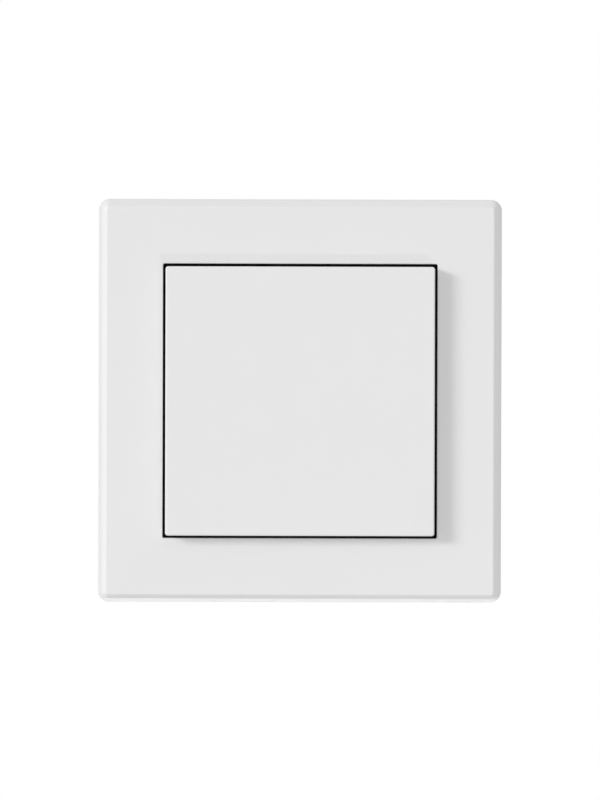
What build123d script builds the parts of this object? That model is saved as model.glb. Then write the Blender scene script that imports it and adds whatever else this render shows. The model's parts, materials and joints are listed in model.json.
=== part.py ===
from build123d import *
import math
import os

# Wireless wall switch with one square rocker. Sizes are in millimetres.
# While a piece is shaped, X runs to the right, Y up the wall and Z out of the wall.
# The wall is at Z = 0, and the origin is the middle of the base plate's back.

# Rocker cap
ROCKER_SIZE = 54.1
ROCKER_GAP = 0.6
ROCKER_PROUD = 3.8
ROCKER_CORNER = 0.55
ROCKER_EDGE = 0.35
ROCKER_WALL = 1.5
ROCKER_FACE = 1.6
ROCKER_TILT = 3.5
SKIRT_COVER = 0.35
CLIP_WIDTH = 6.0
CLIP_THICK = 1.1
CLIP_BARB = 0.5
CLIP_DROP = 0.8
CLIP_OFFSET = 12.0
CLIP_CLEARANCE = 0.06

# Rocker carrier
CARRIER_INSET = 6.45
CARRIER_THICK = 1.2
CARRIER_CORNER = 1.5
CARRIER_CLEARANCE = 0.5
WINDOW_WIDTH = 34.0
WINDOW_HEIGHT = 20.0
WINDOW_CORNER = 3.0
PRESS_PAD_SIZE = 6.0
PRESS_PAD_RISE = 0.4
ARM_THICK = 1.9
ARM_RADIUS = 2.9
ARM_LIP = 0.9
ARM_SIDE_CLEARANCE = 0.3

# Pivots
STUB_RADIUS = 1.5
STUB_LENGTH = 2.4
STUB_CHAMFER = 0.35
STUB_END_CLEARANCE = 0.65
PIVOT_CLEARANCE = 0.05
EAR_THICK = 1.5
EAR_RADIUS = 1.9
EAR_CLEARANCE = 0.1
GUSSET_LENGTH = 3.2
GUSSET_THICK = 1.2

# Outer frame
FRAME_BORDER = 13.0
FRAME_CORNER = 2.2
FRAME_WALL = 1.8
FRAME_FACE = 2.0
FRAME_LIFT = 0.3
FRAME_INNER_CORNER = 0.6
FRAME_BACK_EDGE = 0.3
BEVEL_WIDTH = 0.85
BEVEL_DEPTH = 0.8
CREASE_BLEND = 0.45
FLARE_WIDTH = 0.8
FLARE_DEPTH = 2.6
FLARE_BLEND = 6.0
BEVEL_BLEND = 0.6
OPENING_CORNER = 0.35
OPENING_EDGE = 0.12
WELL_WALL = 1.4
WELL_DEPTH = 4.6
RIB_THICK = 1.0
RIB_DEPTH = 1.8
RIB_OFFSETS = (-29.0, -9.0, 9.0, 29.0)
HOOK_WIDTH = 8.0
HOOK_THICK = 1.2
HOOK_BARB = 0.8
HOOK_OFFSET = 20.0
HOOK_ROOM = 2.0
HOOK_CLEARANCE = 0.15

# Base plate
PLATE_THICK = 2.0
PLATE_CORNER = 4.0
PLATE_EDGE = 0.3
PLATE_LIP = 0.9
HOLE_RADIUS = 2.1
HOLE_INSET = 2.8
TRAY_CLEARANCE = 0.45
TRAY_WALL = 1.4
TRAY_FLOOR = 1.4
TRAY_DEPTH = 5.6
TRAY_CORNER = 2.5
BOSS_SIZE = 5.0
BOSS_MERGE = 0.4
PILLAR_SIZE = 3.0
RELIEF_DEPTH = 0.5
RELIEF_RIB = 1.8
RELIEF_COUNT = 4
RELIEF_DRAFT = 30.0
PAD_SIZE = 8.6
PAD_CORNER = 1.5
PAD_THICK = 0.8
PAD_CLEARANCE = 0.3
PAD_INSET = 1.6

# Circuit board and what is soldered to it
BOARD_THICK = 1.0
BOARD_STANDOFF = 0.8
BOARD_CLEARANCE = 0.3
BOARD_CORNER = 0.5
CHIP_SIZE = 5.0
CHIP_HEIGHT = 0.9
CHIP_EDGE = 0.15
CHIP_INSET = 7.0
CRYSTAL_LENGTH = 5.0
CRYSTAL_WIDTH = 3.2
CRYSTAL_BODY = 0.7
CRYSTAL_LID = 0.4
CRYSTAL_LID_INSET = 0.35
CRYSTAL_INSET = (7.3, 12.5)
CAPACITOR_LENGTH = 7.3
CAPACITOR_WIDTH = 4.3
CAPACITOR_HEIGHT = 2.8
CAPACITOR_EDGE = 0.35
CAPACITOR_INSET = (8.5, 11.0)
ANTENNA_THICK = 0.4
ANTENNA_WIDTH = 1.4
ANTENNA_HEIGHT = 2.2
ANTENNA_INSET = 1.3
ANTENNA_END_INSET = 7.0

# Coin cell and its contacts
CELL_DIAMETER = 20.0
CELL_HEIGHT = 3.2
CELL_CAP_DIAMETER = 17.6
CELL_CAP_RISE = 0.3
CELL_EDGE = 0.4
CELL_CLEARANCE = 0.1
CELL_SIDE_CLEARANCE = 0.2
CELL_RIB_WALL = 1.0
CELL_RIB_LENGTH = 6.0
CELL_RIB_DROP = 2.0
CONTACT_THICK = 0.25
CONTACT_RISE = 0.45
CONTACT_WIDTH = 5.0
CONTACT_FOOT = 3.0
CONTACT_SPAN = 15.0
LEAF_HEIGHT = 2.6
LEAF_FOOT = 3.2
LEAF_CLEARANCE = 0.02

# Module cover
COVER_FACE = 1.2
NOTCH_HALF = 4.5
TURRET_WALL = 1.0
TURRET_FACE = 1.1
POST_SIZE = 2.4
POST_INSET = (3.0, 13.0)
SCREW_RADIUS = 0.83
SCREW_HOLE_RADIUS = 1.2
SCREW_PILOT_CLEARANCE = 0.02
SCREW_HEAD_RADIUS = 2.0
SCREW_HEAD_HEIGHT = 1.2
SCREW_HEAD_EDGE = 0.4
SCREW_HEAD_CLEARANCE = 0.2
SCREW_REACH = 3.6
SCREW_CROSS_LENGTH = 2.2
SCREW_CROSS_WIDTH = 0.55
SCREW_CROSS_DEPTH = 0.6

# Push pins, return springs and snap domes
PIN_INSET = 10.05
PIN_TIP_RADIUS = 1.0
PIN_TIP_LENGTH = 1.5
PIN_FLANGE_RADIUS = 3.5
PIN_FLANGE_THICK = 0.9
PIN_FLANGE_CLEARANCE = 0.2
PIN_STEM_RADIUS = 2.0
PIN_STEM_CLEARANCE = 0.08
PIN_CROWN_RADIUS = 0.4
PIN_CROWN_HEIGHT = 0.5
PIN_STOP_CLEARANCE = 0.25
PIN_TOP_CLEARANCE = 0.03
SPRING_THICK = 0.2
SPRING_WIDTH = 5.0
SPRING_SPAN = 18.0
SPRING_FOOT = 1.6
SPRING_CROWN = 6.4
SPRING_HOLE_CLEARANCE = 0.3
DOME_SPAN = 5.0
DOME_FOOT = 0.5
DOME_CROWN = 2.0
DOME_LEG_WIDTH = 1.6
DOME_HEIGHT = 0.35
DOME_THICK = 0.1
DOME_PRESS = 0.2

# Sizes that follow from those above, from the wall outwards
rocker_half = ROCKER_SIZE / 2
pin_offset = rocker_half - PIN_INSET
carrier_height = ROCKER_SIZE - 2 * CARRIER_INSET
opening = ROCKER_SIZE + 2 * ROCKER_GAP
frame_size = opening + 2 * FRAME_BORDER
plate_size = frame_size - 2 * (FRAME_WALL + HOOK_THICK + HOOK_ROOM)
tray_size = ROCKER_SIZE - 2 * (ROCKER_WALL + TRAY_CLEARANCE)
tray_inside = tray_size - 2 * TRAY_WALL
tray_inner_corner = TRAY_CORNER - TRAY_WALL
hole_offset = tray_size / 2 + HOLE_INSET + HOLE_RADIUS
boss_offset = tray_inside / 2 - BOSS_SIZE / 2 + BOSS_MERGE
board_size = tray_inside - 2 * BOARD_CLEARANCE
board_half = board_size / 2
post_at = (board_half - POST_INSET[0], board_half - POST_INSET[1])
board_back = TRAY_FLOOR + BOARD_STANDOFF
board_front = board_back + BOARD_THICK
cell_back = board_front + CONTACT_RISE
cell_front = cell_back + CELL_HEIGHT
cover_inside = cell_front + CELL_CLEARANCE
cover_front = cover_inside + COVER_FACE
tilt_slope = math.tan(math.radians(ROCKER_TILT))
pin_travel = pin_offset * tilt_slope
pin_tip = board_front + DOME_HEIGHT - DOME_PRESS + pin_travel
flange_back = pin_tip + PIN_TIP_LENGTH
flange_front = flange_back + PIN_FLANGE_THICK
turret_inside = flange_front + pin_travel + PIN_STOP_CLEARANCE
turret_front = turret_inside + TURRET_FACE
turret_bore = PIN_FLANGE_RADIUS + PIN_FLANGE_CLEARANCE
turret_size = 2 * (turret_bore + TURRET_WALL)
carrier_back = turret_front + (pin_offset + turret_size / 2) * tilt_slope + CARRIER_CLEARANCE
carrier_front = carrier_back + CARRIER_THICK
pin_top = carrier_back - PRESS_PAD_RISE - PIN_TOP_CLEARANCE
pivot_height = carrier_back - EAR_RADIUS - EAR_CLEARANCE
rocker_front = carrier_front + ROCKER_FACE
frame_depth = rocker_front - ROCKER_PROUD
skirt_back = frame_depth - rocker_half * tilt_slope - SKIRT_COVER
ear_outside = rocker_half - ROCKER_WALL - STUB_END_CLEARANCE - STUB_LENGTH
ear_inside = ear_outside - EAR_THICK
arm_inside = ear_outside + ARM_SIDE_CLEARANCE
arm_outside = arm_inside + ARM_THICK
notch_outer = NOTCH_HALF + TRAY_WALL
hook_face = plate_size / 2 + HOOK_CLEARANCE
lip_back = PLATE_THICK - PLATE_LIP
pad_offset = plate_size / 2 - PAD_INSET - PAD_SIZE / 2
screw_seat = cover_front - SCREW_HEAD_HEIGHT

EDGE_PICK = 0.01
SIDES = (0, 90, 180, 270)
LEFT_AND_RIGHT = (0, 180)
UP_AND_DOWN = (1, -1)


def slab(size, corner, back, front):
    """Square block with rounded corners between two distances from the wall."""
    return extrude(Plane.XY.offset(back) * RectangleRounded(size, size, corner), amount=front - back)


def tapered(size, corner, back, inset, depth):
    """Rounded square block that narrows by the inset on every side over its depth."""
    wide = Plane.XY.offset(back) * RectangleRounded(size, size, corner)
    narrow = RectangleRounded(size - 2 * inset, size - 2 * inset, corner - inset)
    return loft([wide, Plane.XY.offset(back + depth) * narrow], ruled=True)


def block(x_range, y_range, z_range):
    """Rectangular block between its limits."""
    spans = [high - low for low, high in (x_range, y_range, z_range)]
    middle = [(high + low) / 2 for low, high in (x_range, y_range, z_range)]
    return Pos(*middle) * Box(*spans)


def post(size, back, front, at=(0, 0)):
    """Square post that stands out from the wall."""
    return Pos(at[0], at[1], back) * extrude(Rectangle(size, size), amount=front - back)


def rod(radius, back, front, at=(0, 0)):
    """Round post that stands out from the wall."""
    return Pos(at[0], at[1], back) * extrude(Circle(radius), amount=front - back)


def turned(outline):
    """Solid of revolution about Z from an outline of radius and height."""
    return revolve(Plane.XZ * make_face(outline), axis=Axis.Z)


def strip(points, width):
    """Flat outline in X and Z, made as wide as stated along Y about the middle."""
    return extrude(Plane.XZ * make_face(Polyline(*points, close=True)), amount=width / 2, both=True)


def bridge(span, foot, crown, thick, back, front):
    """Outline of a bent strip with two feet, two sloping legs and a flat crown."""
    foot_end = span / 2
    foot_start = foot_end - foot
    right = (
        (foot_end, back + thick),
        (foot_start, back + thick),
        (crown / 2, front),
    )
    under = (
        (crown / 2, front - thick),
        (foot_start, back),
        (foot_end, back),
    )
    left = tuple((-x, z) for x, z in reversed(right))
    left_under = tuple((-x, z) for x, z in reversed(under))
    return right + left + left_under + under


def edges_at(body, height):
    """Edges that lie at one distance from the wall."""
    return body.edges().filter_by_position(Axis.Z, height - EDGE_PICK, height + EDGE_PICK)


def at_corners(offset):
    """The four places at the same distance from both middle lines."""
    return GridLocations(2 * offset, 2 * offset, 2, 2)


def at_screws():
    """The places of the two cover screws, in opposite corners of the tray."""
    return Locations((-boss_offset, boss_offset), (boss_offset, -boss_offset))


def outer_frame():
    bevel_back = frame_depth - BEVEL_DEPTH
    flare_back = bevel_back - FLARE_DEPTH
    face_back = frame_depth - FRAME_FACE
    body = slab(frame_size, FRAME_CORNER, FRAME_LIFT, flare_back)
    body += tapered(frame_size, FRAME_CORNER, flare_back, FLARE_WIDTH, FLARE_DEPTH)
    body = fillet(edges_at(body, flare_back), FLARE_BLEND)
    bevel_size = frame_size - 2 * FLARE_WIDTH
    body += tapered(bevel_size, FRAME_CORNER - FLARE_WIDTH, bevel_back, BEVEL_WIDTH, BEVEL_DEPTH)
    body = fillet(edges_at(body, bevel_back), BEVEL_BLEND)
    body = fillet(edges_at(body, frame_depth), CREASE_BLEND)
    body -= slab(frame_size - 2 * FRAME_WALL, FRAME_INNER_CORNER, FRAME_LIFT, face_back)
    body = chamfer(edges_at(body, FRAME_LIFT), FRAME_BACK_EDGE)
    body += slab(opening + 2 * WELL_WALL, OPENING_CORNER + WELL_WALL, frame_depth - WELL_DEPTH, face_back)
    rib_span = (opening / 2 + WELL_WALL / 2, frame_size / 2 - FRAME_WALL / 2)
    rib_rise = (face_back - RIB_DEPTH, face_back)
    for side in SIDES:
        for offset in RIB_OFFSETS:
            rib_edges = (offset - RIB_THICK / 2, offset + RIB_THICK / 2)
            body += Rot(0, 0, side) * block(rib_span, rib_edges, rib_rise)
    hook = snap_hook(face_back)
    for side in LEFT_AND_RIGHT:
        for way in UP_AND_DOWN:
            body += Rot(0, 0, side) * Pos(0, way * HOOK_OFFSET, 0) * hook
    body -= slab(opening, OPENING_CORNER, 0, frame_depth)
    front_face = body.faces().filter_by(Axis.Z).sort_by(Axis.Z)[-1]
    return chamfer(front_face.inner_wires().edges(), OPENING_EDGE)


def snap_hook(root):
    """Frame hook that grips under the base plate's edge lip."""
    barb_front = lip_back - HOOK_CLEARANCE
    points = (
        (hook_face, root),
        (hook_face, barb_front),
        (hook_face - HOOK_BARB, barb_front),
        (hook_face, FRAME_LIFT),
        (hook_face + HOOK_THICK, FRAME_LIFT),
        (hook_face + HOOK_THICK, root),
    )
    return strip(points, HOOK_WIDTH)


def base_plate():
    body = slab(plate_size, PLATE_CORNER, 0, PLATE_THICK)
    body = chamfer(edges_at(body, 0), PLATE_EDGE)
    body += slab(tray_size, TRAY_CORNER, 0, TRAY_DEPTH)
    body -= slab(tray_inside, tray_inner_corner, TRAY_FLOOR, TRAY_DEPTH)
    body += at_screws() * post(BOSS_SIZE, TRAY_FLOOR, TRAY_DEPTH)
    body -= at_screws() * rod(SCREW_RADIUS + SCREW_PILOT_CLEARANCE, TRAY_FLOOR, TRAY_DEPTH)
    for x_way in UP_AND_DOWN:
        for y_way in UP_AND_DOWN:
            place = (x_way * post_at[0], y_way * post_at[1])
            body += post(PILLAR_SIZE, TRAY_FLOOR, board_back, place)
    wall_hole = rod(HOLE_RADIUS, 0, PLATE_THICK, (hole_offset, 0))
    notch_inner = hook_face - HOOK_BARB - 2 * HOOK_CLEARANCE
    notch_half = HOOK_WIDTH / 2 + 2 * HOOK_CLEARANCE
    lip_notch = block((notch_inner, plate_size / 2), (-notch_half, notch_half), (0, lip_back))
    for side in SIDES:
        body -= Rot(0, 0, side) * wall_hole
    for side in LEFT_AND_RIGHT:
        for way in UP_AND_DOWN:
            body -= Rot(0, 0, side) * Pos(0, way * HOOK_OFFSET, 0) * lip_notch
    body -= at_corners(pad_offset) * pad(PAD_SIZE + 2 * PAD_CLEARANCE)
    relief_pitch = (tray_size - RELIEF_RIB) / RELIEF_COUNT
    relief_size = relief_pitch - RELIEF_RIB
    relief = extrude(Rectangle(relief_size, relief_size), amount=RELIEF_DEPTH, taper=RELIEF_DRAFT)
    return body - GridLocations(relief_pitch, relief_pitch, RELIEF_COUNT, RELIEF_COUNT) * relief


def pad(size):
    """Square with clipped corners, of the adhesive pads' thickness, on the wall."""
    outline = chamfer(Rectangle(size, size).vertices(), PAD_CORNER)
    return extrude(outline, amount=PAD_THICK)


def adhesive_pads():
    return Part() + at_corners(pad_offset) * pad(PAD_SIZE)


def circuit_board():
    board = slab(board_size, BOARD_CORNER, board_back, board_front)
    notch = (boss_offset - BOSS_SIZE / 2 - BOARD_CLEARANCE, board_half)
    for side in (90, 270):
        board -= Rot(0, 0, side) * block(notch, notch, (board_back, board_front))
    return board


def radio_chip():
    place = (CHIP_INSET - board_half, 0, board_front + CHIP_HEIGHT / 2)
    chip = Pos(*place) * Box(CHIP_SIZE, CHIP_SIZE, CHIP_HEIGHT)
    return chamfer(chip.edges().group_by(Axis.Z)[-1], CHIP_EDGE)


def quartz_crystal():
    """Flat ceramic package with a stepped metal lid."""
    lid_top = CRYSTAL_BODY + CRYSTAL_LID
    body = extrude(Rectangle(CRYSTAL_WIDTH, CRYSTAL_LENGTH), amount=CRYSTAL_BODY)
    lid = Rectangle(CRYSTAL_WIDTH - 2 * CRYSTAL_LID_INSET, CRYSTAL_LENGTH - 2 * CRYSTAL_LID_INSET)
    body += extrude(lid, amount=lid_top)
    place = (board_half - CRYSTAL_INSET[0], board_half - CRYSTAL_INSET[1], board_front)
    return Pos(*place) * body


def buffer_capacitor():
    middle = board_front + CAPACITOR_HEIGHT / 2
    place = (CAPACITOR_INSET[0] - board_half, board_half - CAPACITOR_INSET[1], middle)
    body = Pos(*place) * Box(CAPACITOR_LENGTH, CAPACITOR_WIDTH, CAPACITOR_HEIGHT)
    return chamfer(body.edges().group_by(Axis.Z)[-1], CAPACITOR_EDGE)


def loop_antenna():
    outer = board_half - ANTENNA_END_INSET
    inner = outer - ANTENNA_THICK
    top = board_front + ANTENNA_HEIGHT
    points = (
        (-outer, board_front),
        (-outer, top),
        (outer, top),
        (outer, board_front),
        (inner, board_front),
        (inner, top - ANTENNA_THICK),
        (-inner, top - ANTENNA_THICK),
        (-inner, board_front),
    )
    return Pos(0, ANTENNA_INSET - board_half, 0) * strip(points, ANTENNA_WIDTH)


def coin_cell():
    radius = CELL_DIAMETER / 2
    cap_radius = CELL_CAP_DIAMETER / 2
    can = rod(radius, cell_back + CELL_CAP_RISE, cell_front)
    can = chamfer(can.edges().group_by(Axis.Z)[-1], CELL_EDGE)
    return can + rod(cap_radius, cell_back, cell_back + CELL_HEIGHT / 2)


def cell_contact_negative():
    crown = CONTACT_SPAN / 2 - CONTACT_FOOT
    outline = bridge(CONTACT_SPAN, CONTACT_FOOT, crown, CONTACT_THICK, board_front, cell_back)
    return strip(outline, CONTACT_WIDTH)


def cell_contact_positive():
    leaf_in = CELL_DIAMETER / 2 + LEAF_CLEARANCE
    leaf_out = leaf_in + CONTACT_THICK
    leaf_front = board_front + LEAF_HEIGHT
    points = (
        (leaf_in, leaf_front),
        (leaf_out, leaf_front),
        (leaf_out, board_front + CONTACT_THICK),
        (leaf_out + LEAF_FOOT, board_front + CONTACT_THICK),
        (leaf_out + LEAF_FOOT, board_front),
        (leaf_in, board_front),
    )
    return strip(points, CONTACT_WIDTH)


def contact_dome(way):
    """Snap dome of crossed strips with four legs."""
    top = board_front + DOME_HEIGHT
    leg = strip(bridge(DOME_SPAN, DOME_FOOT, DOME_CROWN, DOME_THICK, board_front, top), DOME_LEG_WIDTH)
    return Pos(0, way * pin_offset, 0) * (leg + Rot(0, 0, 90) * leg)


def push_pin(way):
    outline = Polyline(
        (0, pin_tip),
        (PIN_TIP_RADIUS, pin_tip),
        (PIN_TIP_RADIUS, flange_back),
        (PIN_FLANGE_RADIUS, flange_back),
        (PIN_FLANGE_RADIUS, flange_front),
        (PIN_STEM_RADIUS, flange_front),
        (PIN_STEM_RADIUS, pin_top - PIN_CROWN_HEIGHT),
        (PIN_CROWN_RADIUS, pin_top),
        (0, pin_top),
        close=True,
    )
    return Pos(0, way * pin_offset, 0) * turned(outline)


def return_spring(way):
    outline = bridge(SPRING_SPAN, SPRING_FOOT, SPRING_CROWN, SPRING_THICK, board_front, flange_back)
    leaf = strip(outline, SPRING_WIDTH)
    leaf -= rod(PIN_TIP_RADIUS + SPRING_HOLE_CLEARANCE, board_front, flange_back)
    return Pos(0, way * pin_offset, 0) * leaf


def module_cover():
    body = slab(tray_size, TRAY_CORNER, TRAY_DEPTH, cover_front)
    body -= slab(tray_inside, tray_inner_corner, TRAY_DEPTH, cover_inside)
    body += at_screws() * post(BOSS_SIZE, TRAY_DEPTH, cover_inside)
    body -= at_screws() * rod(SCREW_HOLE_RADIUS, TRAY_DEPTH, cover_front)
    body -= at_screws() * rod(SCREW_HEAD_RADIUS + SCREW_HEAD_CLEARANCE, screw_seat, cover_front)
    for x_way in UP_AND_DOWN:
        for y_way in UP_AND_DOWN:
            place = (x_way * post_at[0], y_way * post_at[1])
            body += post(POST_SIZE, board_front, cover_inside, place)
    for side in SIDES:
        body += Rot(0, 0, side) * cell_rib()
    for way in UP_AND_DOWN:
        place = (0, way * pin_offset)
        body += post(turret_size, cover_inside, turret_front, place)
        body -= rod(turret_bore, cover_inside, turret_inside, place)
        body -= rod(PIN_STEM_RADIUS + PIN_STEM_CLEARANCE, turret_inside, turret_front, place)
    for side in LEFT_AND_RIGHT:
        bay = block((ear_inside, tray_size / 2), (-notch_outer, notch_outer), (TRAY_DEPTH, cover_front))
        notch = block((ear_outside, tray_size / 2), (-NOTCH_HALF, NOTCH_HALF), (TRAY_DEPTH, cover_front))
        body += Rot(0, 0, side) * bay
        body -= Rot(0, 0, side) * notch
        body += Rot(0, 0, side) * pivot_ear()
    return body


def cell_rib():
    """Rib under the cover that keeps the cell in the middle, set on a diagonal."""
    inner = CELL_DIAMETER / 2 + CELL_SIDE_CLEARANCE
    back = cover_inside - CELL_RIB_DROP
    half = CELL_RIB_LENGTH / 2
    return Rot(0, 0, 45) * block((inner, inner + CELL_RIB_WALL), (-half, half), (back, cover_inside))


def pivot_ear():
    """Ear at the cover's right side with its stub axle and a gusset."""
    lug = Pos(0, pivot_height) * Circle(EAR_RADIUS)
    lug += Pos(0, (cover_inside + pivot_height) / 2) * Rectangle(2 * EAR_RADIUS, pivot_height - cover_inside)
    ear = extrude(Plane.YZ.offset(ear_inside) * lug, amount=EAR_THICK)
    section = Pos(0, pivot_height) * Circle(STUB_RADIUS)
    axle = extrude(Plane.YZ.offset(ear_outside) * section, amount=STUB_LENGTH)
    axle = chamfer(axle.edges().group_by(Axis.X)[-1], STUB_CHAMFER)
    gusset = strip(
        ((ear_inside, pivot_height), (ear_inside, cover_inside), (ear_inside - GUSSET_LENGTH, cover_inside)),
        GUSSET_THICK,
    )
    return ear + axle + gusset


def cover_screws():
    head = rod(SCREW_HEAD_RADIUS, screw_seat, cover_front)
    head = chamfer(head.edges().group_by(Axis.Z)[-1], SCREW_HEAD_EDGE)
    for side in (0, 90):
        cross = Box(SCREW_CROSS_LENGTH, SCREW_CROSS_WIDTH, 2 * SCREW_CROSS_DEPTH)
        head -= Pos(0, 0, cover_front) * Rot(0, 0, side) * cross
    screw = head + rod(SCREW_RADIUS, TRAY_DEPTH - SCREW_REACH, screw_seat)
    return Part() + at_screws() * screw


def rocker_carrier():
    plate = Plane.XY.offset(carrier_back) * RectangleRounded(2 * arm_outside, carrier_height, CARRIER_CORNER)
    window = Plane.XY.offset(carrier_back) * RectangleRounded(WINDOW_WIDTH, WINDOW_HEIGHT, WINDOW_CORNER)
    body = extrude(plate - window, amount=CARRIER_THICK)
    for way in UP_AND_DOWN:
        body += post(PRESS_PAD_SIZE, carrier_back - PRESS_PAD_RISE, carrier_back, (0, way * pin_offset))
    bearing = Pos(0, pivot_height) * Circle(ARM_RADIUS)
    neck_height = carrier_back - pivot_height
    bearing += Pos(0, pivot_height + neck_height / 2) * Rectangle(2 * ARM_RADIUS, neck_height)
    bearing -= Pos(0, pivot_height) * Circle(STUB_RADIUS + PIVOT_CLEARANCE)
    below = ARM_RADIUS - ARM_LIP
    bearing -= Pos(0, pivot_height - ARM_LIP - below / 2) * Rectangle(2 * ARM_RADIUS, below)
    bearing = bearing.faces().sort_by(SortBy.AREA)[-1]
    arm = extrude(Plane.YZ.offset(arm_inside) * bearing, amount=ARM_THICK)
    arm &= block((arm_inside, arm_outside), (-ARM_RADIUS, ARM_RADIUS), (0, carrier_back))
    for side in LEFT_AND_RIGHT:
        body += Rot(0, 0, side) * arm
    return body


def rocker_cap():
    body = slab(ROCKER_SIZE, ROCKER_CORNER, skirt_back, rocker_front)
    body = fillet(body.edges().group_by(Axis.Z)[-1], ROCKER_EDGE)
    inside = ROCKER_SIZE - 2 * ROCKER_WALL
    body -= slab(inside, ROCKER_CORNER, skirt_back, carrier_front)
    clip = snap_clip()
    for side in LEFT_AND_RIGHT:
        for way in UP_AND_DOWN:
            body += Rot(0, 0, side) * Pos(way * CLIP_OFFSET, 0, 0) * clip
    return body


def snap_clip():
    """Clip inside the cap that grips the carrier's upper edge."""
    inner = carrier_height / 2 + CLIP_CLEARANCE
    barb_front = carrier_back - CLIP_CLEARANCE
    points = (
        (inner, carrier_front),
        (inner, barb_front),
        (inner - CLIP_BARB, barb_front),
        (inner, barb_front - CLIP_DROP),
        (inner + CLIP_THICK, barb_front - CLIP_DROP),
        (inner + CLIP_THICK, carrier_front),
    )
    return Rot(0, 0, 90) * strip(points, CLIP_WIDTH)


PIECES = {
    "outer_frame": outer_frame(),
    "rocker_cap": rocker_cap(),
    "rocker_carrier": rocker_carrier(),
    "module_cover": module_cover(),
    "cover_screws": cover_screws(),
    "push_pin_upper": push_pin(1),
    "push_pin_lower": push_pin(-1),
    "return_spring_upper": return_spring(1),
    "return_spring_lower": return_spring(-1),
    "contact_dome_upper": contact_dome(1),
    "contact_dome_lower": contact_dome(-1),
    "coin_cell": coin_cell(),
    "cell_contact_negative": cell_contact_negative(),
    "cell_contact_positive": cell_contact_positive(),
    "radio_chip": radio_chip(),
    "quartz_crystal": quartz_crystal(),
    "buffer_capacitor": buffer_capacitor(),
    "loop_antenna": loop_antenna(),
    "circuit_board": circuit_board(),
    "base_plate": base_plate(),
    "adhesive_pads": adhesive_pads(),
}

# The wall stands upright: Z is up and the rocker faces -Y.
os.makedirs("parts", exist_ok=True)
for name, piece in PIECES.items():
    export_step(Rot(90, 0, 0) * piece, f"parts/{name}.step")
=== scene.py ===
import json
import math
import bmesh
import bpy
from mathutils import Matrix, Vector


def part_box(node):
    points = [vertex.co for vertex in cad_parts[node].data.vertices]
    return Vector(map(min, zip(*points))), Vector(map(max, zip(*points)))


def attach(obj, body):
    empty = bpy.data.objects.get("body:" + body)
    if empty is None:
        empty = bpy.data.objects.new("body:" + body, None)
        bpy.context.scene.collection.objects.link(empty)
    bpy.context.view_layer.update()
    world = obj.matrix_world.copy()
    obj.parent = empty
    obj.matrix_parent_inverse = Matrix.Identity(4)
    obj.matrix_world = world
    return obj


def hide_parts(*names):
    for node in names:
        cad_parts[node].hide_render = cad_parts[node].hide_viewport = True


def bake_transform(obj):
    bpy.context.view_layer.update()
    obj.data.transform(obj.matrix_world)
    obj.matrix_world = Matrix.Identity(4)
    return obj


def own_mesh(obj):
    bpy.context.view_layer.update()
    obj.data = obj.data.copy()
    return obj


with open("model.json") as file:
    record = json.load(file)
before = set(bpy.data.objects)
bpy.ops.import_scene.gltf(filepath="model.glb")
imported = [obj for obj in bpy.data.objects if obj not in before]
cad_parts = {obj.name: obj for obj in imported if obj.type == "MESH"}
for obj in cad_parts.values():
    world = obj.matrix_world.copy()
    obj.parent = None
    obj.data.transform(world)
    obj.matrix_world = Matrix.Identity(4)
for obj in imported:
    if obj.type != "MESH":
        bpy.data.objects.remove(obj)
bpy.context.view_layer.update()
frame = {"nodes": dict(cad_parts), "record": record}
scene = bpy.context.scene

# Lengths are in metres, apart from those whose names end in MM
MM = 0.001

# The photograph is 600 by 800 pixels, almost a straight front view, with a slight roll
PHOTO_HEIGHT_PX = 800
PX_PER_MM = 4.967
PHOTO_ROLL_DEG = 0.16
PHOTO_RISE_DEG = 0.7
PHOTO_CENTRE_MM = (-0.05, 0.22)
CAMERA_DISTANCE = 1.5
CAMERA_REACH = 10
SENSOR_MM = 36.0

# Radiance of the six walls of a white light tent, and of the backdrop that the camera sees
TENT = {"left": 0.84, "right": 0.83, "over": 0.56, "under": 0.0, "front": 0.7, "back": 0.5}
BACKDROP = 1.0

# Softboxes: the key is far to the left of the camera and higher, the fill is below it to the right,
# and two kickers lie behind the object, one above it and one below
KEY_PLACE = (-6.78, -5.46, 2.4)
KEY_SIZE = (2.8, 1.8)
KEY_POWER = 348.0
FILL_PLACE = (0.17, -0.5, -0.32)
FILL_SIZE = (0.16, 0.03)
FILL_POWER = 0.3
KICKER_BACK = 0.26
KICKER_SIZE = (0.5, 0.1)
KICKER_HEIGHTS = {"kicker_over": 0.28, "kicker_under": -0.28}
KICKER_POWERS = {"kicker_over": 0.2, "kicker_under": 0.65}

# Round table below the photograph's view
FLOOR_DROP = 0.35
FLOOR_RADIUS = 2.4
FLOOR_SIDES = 96
FLOOR_DARK = (0.66, 0.66, 0.66)
FLOOR_LIGHT = (0.7, 0.7, 0.7)
FLOOR_ROUGH = 0.8

# Part of a noise that a map spreads over its limits
NOISE_LOW = 0.3
NOISE_HIGH = 0.7

# White satin plastic
SATIN_CLOUD_MM = 14.0
SATIN_GRAIN_MM = 0.18
SATIN_BUMP_MM = 0.0025
SATIN_DARK = (0.815, 0.815, 0.815)
SATIN_LIGHT = (0.821, 0.821, 0.821)
SATIN_ROUGH = (0.40, 0.46)
SATIN_IOR = 1.49

# Plastic with the grain of an eroded mould
MOULD_GRAIN_MM = 0.35
MOULD_GLOSS_MM = 9.0
MOULD_BUMP_MM = 0.02
MOULD_ROUGH_CHANGE = 0.07

# Foam tape with its paper liner
FOAM_CELL_MM = 0.3
FOAM_MIDDLE = (0.62, 0.62, 0.59)
FOAM_EDGE = (0.36, 0.36, 0.34)
FOAM_ROUGH = (0.8, 0.95)
LINER_FIBRE_MM = 0.5
LINER_DARK = (0.66, 0.64, 0.58)
LINER_LIGHT = (0.74, 0.72, 0.66)
LINER_ROUGH = (0.34, 0.5)
LINER_BUMP_MM = 0.006

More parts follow.
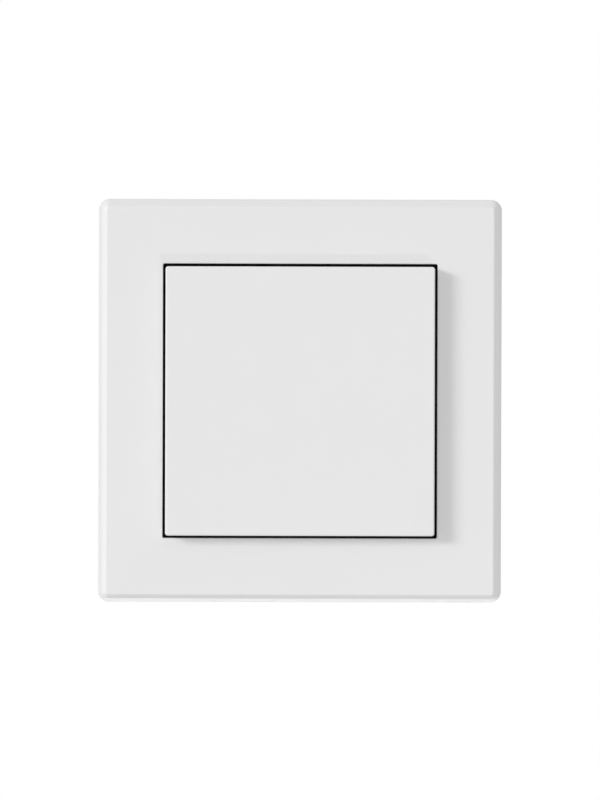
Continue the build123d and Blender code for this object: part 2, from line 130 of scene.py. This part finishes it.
# Rolled metal, with lines drawn out along X
METAL_LINE_MM = 0.12
METAL_DRAWN = (0.05, 1.0, 1.0)
METAL_BUMP_MM = 0.001
METAL_ROUGH_CHANGE = 0.05

# Sheet steel pieces. Points of two patches within this share of the thickness are welded,
# and an edge past this angle stays sharp
SHEET_WELD_SHARE = 0.01
SHEET_SHARP_DEG = 35

# Return springs. The crown and the end of the bend are shares of the leaf's half length
LEAF_THICK = 0.2 * MM
LEAF_HOLE = 1.3 * MM
LEAF_CROWN = 0.356
LEAF_BEND_END = 0.822
LEAF_STEPS = 24
LEAF_RINGS = 6
LEAF_CELLS = 10

# Snap domes. The crown, the end of the slope and half a leg's width are shares of the half span
DOME_THICK = 0.1 * MM
DOME_CROWN = 0.3
DOME_BEND_END = 0.86
DOME_LEG = 0.32
DOME_CELLS = 50


class Tree:
    """Short ways to add and join the nodes of one material."""

    def __init__(self, name):
        self.material = bpy.data.materials.new(name)
        self.material.use_nodes = True
        self.nodes = self.material.node_tree.nodes
        self.links = self.material.node_tree.links
        self.nodes.clear()
        output = self.nodes.new("ShaderNodeOutputMaterial")
        self.shader = self.nodes.new("ShaderNodeBsdfPrincipled")
        self.links.new(self.shader.outputs["BSDF"], output.inputs["Surface"])

    def feed(self, value, socket):
        """Joins a node's value to one of the shader's sockets."""
        self.links.new(value, self.shader.inputs[socket])

    def noise(self, grain_mm, detail=3.0, shares=(1.0, 1.0, 1.0)):
        """Noise over the object's own coordinates. An axis with a small share is drawn out."""
        where = self.nodes.new("ShaderNodeTexCoord")
        drawn = self.nodes.new("ShaderNodeVectorMath")
        drawn.operation = "MULTIPLY"
        drawn.inputs[1].default_value = shares
        noise = self.nodes.new("ShaderNodeTexNoise")
        noise.inputs["Scale"].default_value = 1 / (grain_mm * MM)
        noise.inputs["Detail"].default_value = detail
        self.links.new(where.outputs["Object"], drawn.inputs[0])
        self.links.new(drawn.outputs["Vector"], noise.inputs["Vector"])
        return noise.outputs["Fac"]

    def cells(self, size_mm):
        """Distance from the middle of each closed cell of a foam."""
        where = self.nodes.new("ShaderNodeTexCoord")
        cells = self.nodes.new("ShaderNodeTexVoronoi")
        cells.inputs["Scale"].default_value = 1 / (size_mm * MM)
        self.links.new(where.outputs["Object"], cells.inputs["Vector"])
        return cells.outputs["Distance"]

    def toward_wall(self):
        """One on faces that lie along the wall and zero on faces square to it."""
        shape = self.nodes.new("ShaderNodeNewGeometry")
        parts = self.nodes.new("ShaderNodeSeparateXYZ")
        size = self.nodes.new("ShaderNodeMath")
        size.operation = "ABSOLUTE"
        self.links.new(shape.outputs["True Normal"], parts.inputs["Vector"])
        self.links.new(parts.outputs["Y"], size.inputs[0])
        return size.outputs["Value"]

    def spread(self, value, low, high):
        """Map of the middle part of a noise to the stated limits."""
        node = self.nodes.new("ShaderNodeMapRange")
        node.inputs["From Min"].default_value = NOISE_LOW
        node.inputs["From Max"].default_value = NOISE_HIGH
        node.inputs["To Min"].default_value = low
        node.inputs["To Max"].default_value = high
        self.links.new(value, node.inputs["Value"])
        return node.outputs["Result"]

    def blend(self, value, low, high):
        """Colour between two stated colours."""
        node = self.nodes.new("ShaderNodeMix")
        node.data_type = "RGBA"
        node.inputs["A"].default_value = (*low, 1)
        node.inputs["B"].default_value = (*high, 1)
        self.links.new(self.spread(value, 0, 1), node.inputs["Factor"])
        return node.outputs["Result"]

    def choose(self, value, low, high, kind="RGBA"):
        """Value between two other nodes' values, which may be colours."""
        node = self.nodes.new("ShaderNodeMix")
        node.data_type = kind
        sockets = [socket for socket in node.inputs if socket.enabled]
        self.links.new(value, sockets[0])
        self.links.new(low, sockets[1])
        self.links.new(high, sockets[2])
        return next(socket for socket in node.outputs if socket.enabled)

    def bump(self, height, depth_mm):
        """Fine relief of the surface."""
        node = self.nodes.new("ShaderNodeBump")
        node.inputs["Distance"].default_value = depth_mm * MM
        self.links.new(height, node.inputs["Height"])
        self.feed(node.outputs["Normal"], "Normal")


def white_plastic(name):
    """Moulded white plastic with a fine satin skin."""
    tree = Tree(name)
    cloud = tree.noise(SATIN_CLOUD_MM, detail=2.0)
    tree.feed(tree.blend(cloud, SATIN_DARK, SATIN_LIGHT), "Base Color")
    tree.feed(tree.spread(cloud, *SATIN_ROUGH), "Roughness")
    tree.shader.inputs["IOR"].default_value = SATIN_IOR
    tree.bump(tree.noise(SATIN_GRAIN_MM), SATIN_BUMP_MM)
    return tree.material


def grained_plastic(name, dark, light, rough):
    """Plastic with the even grain of an eroded mould, and slow changes in its gloss."""
    tree = Tree(name)
    grain = tree.noise(MOULD_GRAIN_MM)
    gloss = tree.noise(MOULD_GLOSS_MM, detail=2.0)
    tree.feed(tree.blend(grain, dark, light), "Base Color")
    tree.feed(tree.spread(gloss, rough - MOULD_ROUGH_CHANGE, rough + MOULD_ROUGH_CHANGE), "Roughness")
    tree.bump(grain, MOULD_BUMP_MM)
    return tree.material


def foam_tape(name):
    """Foam with closed cells on its cut edges and a smooth paper liner on its flat faces."""
    tree = Tree(name)
    flat = tree.toward_wall()
    cells = tree.cells(FOAM_CELL_MM)
    fibres = tree.noise(LINER_FIBRE_MM, detail=5.0)
    foam = tree.blend(cells, FOAM_MIDDLE, FOAM_EDGE)
    liner = tree.blend(fibres, LINER_DARK, LINER_LIGHT)
    tree.feed(tree.choose(flat, foam, liner), "Base Color")
    foam_rough = tree.spread(cells, *FOAM_ROUGH)
    liner_rough = tree.spread(fibres, *LINER_ROUGH)
    tree.feed(tree.choose(flat, foam_rough, liner_rough, kind="FLOAT"), "Roughness")
    tree.bump(fibres, LINER_BUMP_MM)
    return tree.material


def metal(name, dark, light, rough):
    """Rolled metal with fine lines along its length."""
    tree = Tree(name)
    lines = tree.noise(METAL_LINE_MM, detail=2.0, shares=METAL_DRAWN)
    tree.shader.inputs["Metallic"].default_value = 1.0
    tree.feed(tree.blend(lines, dark, light), "Base Color")
    tree.feed(tree.spread(lines, rough - METAL_ROUGH_CHANGE, rough + METAL_ROUGH_CHANGE), "Roughness")
    tree.bump(lines, METAL_BUMP_MM)
    return tree.material


# The record's material slots, with each finish's dark and light colour and its roughness
MATERIALS = {
    "frame_white": white_plastic("frame_white_skin"),
    "rocker_white": white_plastic("rocker_white_skin"),
    "housing_dark": grained_plastic("housing_dark_grain", (0.012, 0.012, 0.013), (0.02, 0.02, 0.021), 0.6),
    "pin_grey": grained_plastic("pin_grey_grain", (0.5, 0.5, 0.48), (0.58, 0.58, 0.56), 0.45),
    "steel": metal("steel_grain", (0.55, 0.54, 0.52), (0.6, 0.59, 0.57), 0.3),
    "cell_nickel": metal("nickel_grain", (0.66, 0.65, 0.62), (0.72, 0.71, 0.68), 0.25),
    "chip_black": grained_plastic("chip_black_grain", (0.012, 0.012, 0.012), (0.03, 0.03, 0.03), 0.6),
    "capacitor_ochre": grained_plastic("capacitor_grain", (0.42, 0.24, 0.05), (0.5, 0.3, 0.07), 0.5),
    "antenna_copper": metal("copper_grain", (0.66, 0.38, 0.24), (0.74, 0.45, 0.3), 0.32),
    "board_green": grained_plastic("board_mask", (0.01, 0.09, 0.035), (0.015, 0.13, 0.05), 0.35),
    "pad_foam": foam_tape("pad_foam_cells"),
}
for subpart in frame["record"]["subparts"]:
    node = frame["nodes"][subpart["node"]]
    node.material_slots[0].material = MATERIALS[subpart["material_slot"]]


def ease(value, end):
    """Smooth step from zero at zero to one at the end."""
    share = min(max(value / end, 0.0), 1.0)
    return share * share * (3 - 2 * share)


def evenly(cells):
    """Even places from minus one to one."""
    return [2 * i / cells - 1 for i in range(cells + 1)]


def pressed_sheet(name, patches, thick):
    """Sheet steel piece. Each patch is rows of points on the side away from the wall."""
    shape = bmesh.new()
    for rows in patches:
        lines = [[shape.verts.new(point) for point in row] for row in rows]
        for line, after in zip(lines, lines[1:]):
            for i in range(len(line) - 1):
                shape.faces.new((line[i], line[i + 1], after[i + 1], after[i]))
    bmesh.ops.remove_doubles(shape, verts=shape.verts, dist=thick * SHEET_WELD_SHARE)
    shape.normal_update()
    for face in shape.faces:
        if face.normal.y > 0:
            face.normal_flip()
    bmesh.ops.solidify(shape, geom=shape.faces[:], thickness=thick)
    bmesh.ops.recalc_face_normals(shape, faces=shape.faces)
    # The sheet's edge faces come in no fixed order, so all the faces are put in the order of their places
    for i, face in enumerate(sorted(shape.faces, key=lambda face: face.calc_center_median()[:])):
        face.index = i
    shape.faces.sort()
    mesh = bpy.data.meshes.new(name)
    shape.to_mesh(mesh)
    shape.free()
    for face in mesh.polygons:
        face.use_smooth = True
    mesh.set_sharp_from_angle(angle=math.radians(SHEET_SHARP_DEG))
    mesh.materials.append(MATERIALS["steel"])
    piece = bpy.data.objects.new(name, mesh)
    scene.collection.objects.link(piece)
    return piece


def leaf_spring(end):
    """Bowed leaf in its rest shape. Its feet stay on the board, and the pin goes through a hole in its
    crown.
    """
    low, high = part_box(f"return_spring_{end}")
    middle = (low + high) / 2
    half = (high - low) / 2
    crown = LEAF_CROWN * half.x
    bend_end = LEAF_BEND_END * half.x
    foot_y = high.y - LEAF_THICK
    crown_y = low.y

    def on_leaf(x, z):
        """Point of the leaf, with x along it and z across it from its middle."""
        rise = ease(bend_end - abs(x), bend_end - crown)
        return (middle.x + x, foot_y + (crown_y - foot_y) * rise, middle.z + z)

    def on_crown(x, z, share):
        """Point on the line from the hole's edge to a point of the crown's edge."""
        hole = LEAF_HOLE / math.hypot(x, z)
        scale = hole + (1 - hole) * share
        return on_leaf(x * scale, z * scale)

    across = [half.z * place for place in evenly(LEAF_CELLS)]
    along = [crown + (half.x - crown) * i / LEAF_STEPS for i in range(LEAF_STEPS + 1)]
    rings = [i / LEAF_RINGS for i in range(LEAF_RINGS + 1)]
    patches = []
    for way in (1, -1):
        patches.append([[on_leaf(way * x, z) for z in across] for x in along])
        leg_side = [(way * crown, z) for z in across]
        free_side = [(way * crown * z / half.z, way * half.z) for z in across]
        for side in (leg_side, free_side):
            patches.append([[on_crown(x, z, share) for x, z in side] for share in rings])
    spring = pressed_sheet(f"leaf_spring_{end}", patches, LEAF_THICK)
    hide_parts(f"return_spring_{end}")
    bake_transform(spring)


def snap_dome(end):
    """Four-legged steel dome in its rest shape, which the pin's tip presses flat in use."""
    low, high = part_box(f"contact_dome_{end}")
    middle = (low + high) / 2
    half = high.x - middle.x
    foot_y = high.y - DOME_THICK
    crown_y = low.y

    def on_dome(x, z):
        """Point of the dome, with x and z as shares of its half span."""
        rise = ease(DOME_BEND_END - math.hypot(x, z), DOME_BEND_END - DOME_CROWN)
        return (middle.x + half * x, foot_y + (crown_y - foot_y) * rise, middle.z + half * z)

    places = evenly(DOME_CELLS)
    cells = list(zip(places, places[1:]))
    patches = [
        [[on_dome(x, z) for z in z_cell] for x in x_cell]
        for x_cell in cells
        for z_cell in cells
        if min(abs(sum(x_cell)), abs(sum(z_cell))) < 2 * DOME_LEG
    ]
    dome = pressed_sheet(f"snap_dome_{end}", patches, DOME_THICK)
    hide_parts(f"contact_dome_{end}")
    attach(dome, "wall_unit")
    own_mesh(dome)


def softbox(name, place, size, power):
    """Area light that faces the object and isn't itself seen."""
    data = bpy.data.lights.new(name, "AREA")
    data.shape = "RECTANGLE"
    data.size, data.size_y = size
    data.energy = power
    lamp = bpy.data.objects.new(name, data)
    lamp.location = place
    lamp.rotation_euler = (-Vector(place)).to_track_quat("-Z", "Y").to_euler()
    lamp.visible_camera = False
    scene.collection.objects.link(lamp)


def light_tent():
    """Soft light from six white walls that run into each other, and a plain white backdrop."""
    world = bpy.data.worlds.new("light_tent")
    scene.world = world
    world.use_nodes = True
    nodes, links = world.node_tree.nodes, world.node_tree.links
    nodes.clear()

    def vector_math(operation, first, second):
        """Result of vector arithmetic on two values, each a socket or a fixed vector."""
        node = nodes.new("ShaderNodeVectorMath")
        node.operation = operation
        for socket, value in zip(node.inputs, (first, second)):
            if isinstance(value, tuple):
                socket.default_value = value
            else:
                links.new(value, socket)
        return node.outputs["Value"] if operation == "DOT_PRODUCT" else node.outputs["Vector"]

    direction = nodes.new("ShaderNodeTexCoord").outputs["Generated"]
    sides = []
    for way, walls in ((1, ("right", "back", "over")), (-1, ("left", "front", "under"))):
        facing = vector_math("MULTIPLY", direction, (way, way, way))
        facing = vector_math("MAXIMUM", facing, (0.0, 0.0, 0.0))
        share = vector_math("MULTIPLY", facing, facing)
        sides.append(vector_math("DOT_PRODUCT", share, tuple(TENT[wall] for wall in walls)))
    total = nodes.new("ShaderNodeMath")
    links.new(sides[0], total.inputs[0])
    links.new(sides[1], total.inputs[1])
    light = nodes.new("ShaderNodeBackground")
    links.new(total.outputs["Value"], light.inputs["Strength"])
    backdrop = nodes.new("ShaderNodeBackground")
    backdrop.inputs["Strength"].default_value = BACKDROP
    for node in (light, backdrop):
        node.inputs["Color"].default_value = (1, 1, 1, 1)
    path = nodes.new("ShaderNodeLightPath")
    mix = nodes.new("ShaderNodeMixShader")
    links.new(path.outputs["Is Camera Ray"], mix.inputs["Fac"])
    links.new(light.outputs["Background"], mix.inputs[1])
    links.new(backdrop.outputs["Background"], mix.inputs[2])
    output = nodes.new("ShaderNodeOutputWorld")
    links.new(mix.outputs["Shader"], output.inputs["Surface"])


def floor():
    """Pale round table below the photograph's view."""
    mesh = bpy.data.meshes.new("floor")
    turn = 2 * math.pi / FLOOR_SIDES
    rim = [
        (FLOOR_RADIUS * math.cos(i * turn), FLOOR_RADIUS * math.sin(i * turn), -FLOOR_DROP)
        for i in range(FLOOR_SIDES)
    ]
    mesh.from_pydata(rim, [], [tuple(range(FLOOR_SIDES))])
    mesh.materials.append(grained_plastic("floor_paper", FLOOR_DARK, FLOOR_LIGHT, FLOOR_ROUGH))
    table = bpy.data.objects.new("floor", mesh)
    scene.collection.objects.link(table)


def photo_camera():
    """Long lens almost square to the frame's front face. The sensor's width spans the view's height."""
    data = bpy.data.cameras.new("photo_camera")
    face_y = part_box("outer_frame")[0].y
    view_height = PHOTO_HEIGHT_PX / PX_PER_MM * MM
    data.sensor_width = SENSOR_MM
    data.lens = SENSOR_MM * CAMERA_DISTANCE / view_height
    data.clip_end = CAMERA_REACH
    camera = bpy.data.objects.new("photo_camera", data)
    rise = math.radians(PHOTO_RISE_DEG)
    aim = Vector((PHOTO_CENTRE_MM[0] * MM, face_y, PHOTO_CENTRE_MM[1] * MM))
    camera.location = aim + CAMERA_DISTANCE * Vector((0, -math.cos(rise), math.sin(rise)))
    camera.rotation_euler = (math.pi / 2 - rise, -math.radians(PHOTO_ROLL_DEG), 0)
    scene.collection.objects.link(camera)
    scene.camera = camera


for end in ("upper", "lower"):
    leaf_spring(end)
    snap_dome(end)
softbox("key", KEY_PLACE, KEY_SIZE, KEY_POWER)
softbox("fill", FILL_PLACE, FILL_SIZE, FILL_POWER)
for name, height in KICKER_HEIGHTS.items():
    softbox(name, (0.0, KICKER_BACK, height), KICKER_SIZE, KICKER_POWERS[name])
light_tent()
floor()
photo_camera()
scene.view_settings.view_transform = "Standard"
